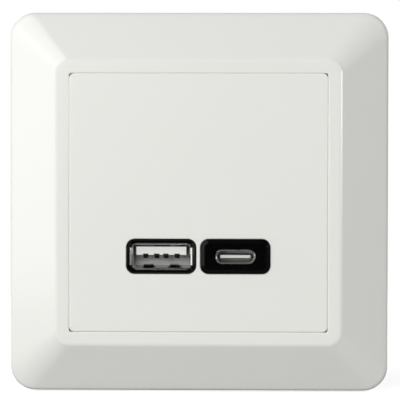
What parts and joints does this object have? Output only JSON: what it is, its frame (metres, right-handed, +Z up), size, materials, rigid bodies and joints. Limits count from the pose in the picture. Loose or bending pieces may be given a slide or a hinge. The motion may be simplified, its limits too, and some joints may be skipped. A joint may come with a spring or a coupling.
{
  "type": "usb wall socket",
  "caption": "Square flush wall socket with a bevelled frame and a flush cover, type A and type C USB charging ports in black blocks, and screw terminals behind.",
  "frame": {"origin": "centre of the frame on the wall's surface, midway between the box screws", "axes": "+X to the right and +Z up as seen from the room, +Y into the wall"},
  "size_m": [0.085, 0.0351, 0.085],
  "materials": {
    "white_plastic": "satin white moulding",
    "black_plastic": "fine-grained black moulding",
    "zinc_steel": "zinc-plated sheet",
    "screw_steel": "bright zinc plating",
    "port_steel": "nickel-plated sheet",
    "tongue_plastic": "white insulator",
    "contact_gold": "gold-plated contacts",
    "board_green": "solder mask over glass laminate",
    "chip_black": "moulded package",
    "ferrite": "sintered ferrite",
    "bobbin_plastic": "moulded bobbin",
    "winding_tape": "insulating tape over copper",
    "can_sleeve": "sleeved can",
    "box_yellow": "cast box",
    "fuse_brown": "moulded box",
    "terminal_grey": "moulded block",
    "terminal_brass": "plain brass",
    "clamp_steel": "zinc plating"
  },
  "bodies": {
    "socket": {"surround_frame": "white_plastic", "centre_plate": "white_plastic", "support_plate": "zinc_steel", "plate_screws": "screw_steel", "front_housing": "black_plastic", "rear_housing": "black_plastic", "usb_a_shell": "port_steel", "usb_a_insulator": "tongue_plastic", "usb_a_contacts": "contact_gold", "usb_c_shell": "port_steel", "usb_c_insulator": "tongue_plastic", "usb_c_contacts": "contact_gold", "port_board": "board_green", "main_board": "board_green", "board_header": "chip_black", "charge_controller": "chip_black", "controller_chip": "chip_black", "bridge_rectifier": "chip_black", "opto_isolator": "chip_black", "safety_capacitor": "box_yellow", "fuse": "fuse_brown", "input_capacitors": "can_sleeve", "output_capacitor": "can_sleeve", "filter_inductor": "ferrite", "transformer_core": "ferrite", "transformer_bobbin": "bobbin_plastic", "transformer_winding": "winding_tape", "terminal_block": "terminal_grey", "line_bar": "terminal_brass", "neutral_bar": "terminal_brass"},
    "line_clamp": {"line_clamp": "clamp_steel"},
    "line_screw": {"line_screw": "screw_steel"},
    "neutral_clamp": {"neutral_clamp": "clamp_steel"},
    "neutral_screw": {"neutral_screw": "screw_steel"}
  },
  "joints": [
    {"name": "line_screw_turn", "type": "hinge", "parent": "socket", "child": "line_screw", "pos_m": [-0.006, 0.021, 0.0171], "axis": [0, -1, 0], "range_deg": [0, 1801]},
    {"name": "line_clamp_slide", "type": "slide", "parent": "socket", "child": "line_clamp", "axis": [0, 1, 0], "range_m": [0, 0.0025]},
    {"name": "neutral_screw_turn", "type": "hinge", "parent": "socket", "child": "neutral_screw", "pos_m": [0.006, 0.021, 0.0171], "axis": [0, -1, 0], "range_deg": [0, 1801]},
    {"name": "neutral_clamp_slide", "type": "slide", "parent": "socket", "child": "neutral_clamp", "axis": [0, 1, 0], "range_m": [0, 0.0025]}
  ],
  "couplings": [
    {"joint": "line_screw_turn", "follows": "line_clamp_slide", "rad_per_m": 12566},
    {"joint": "neutral_screw_turn", "follows": "neutral_clamp_slide", "rad_per_m": 12566}
  ]
}
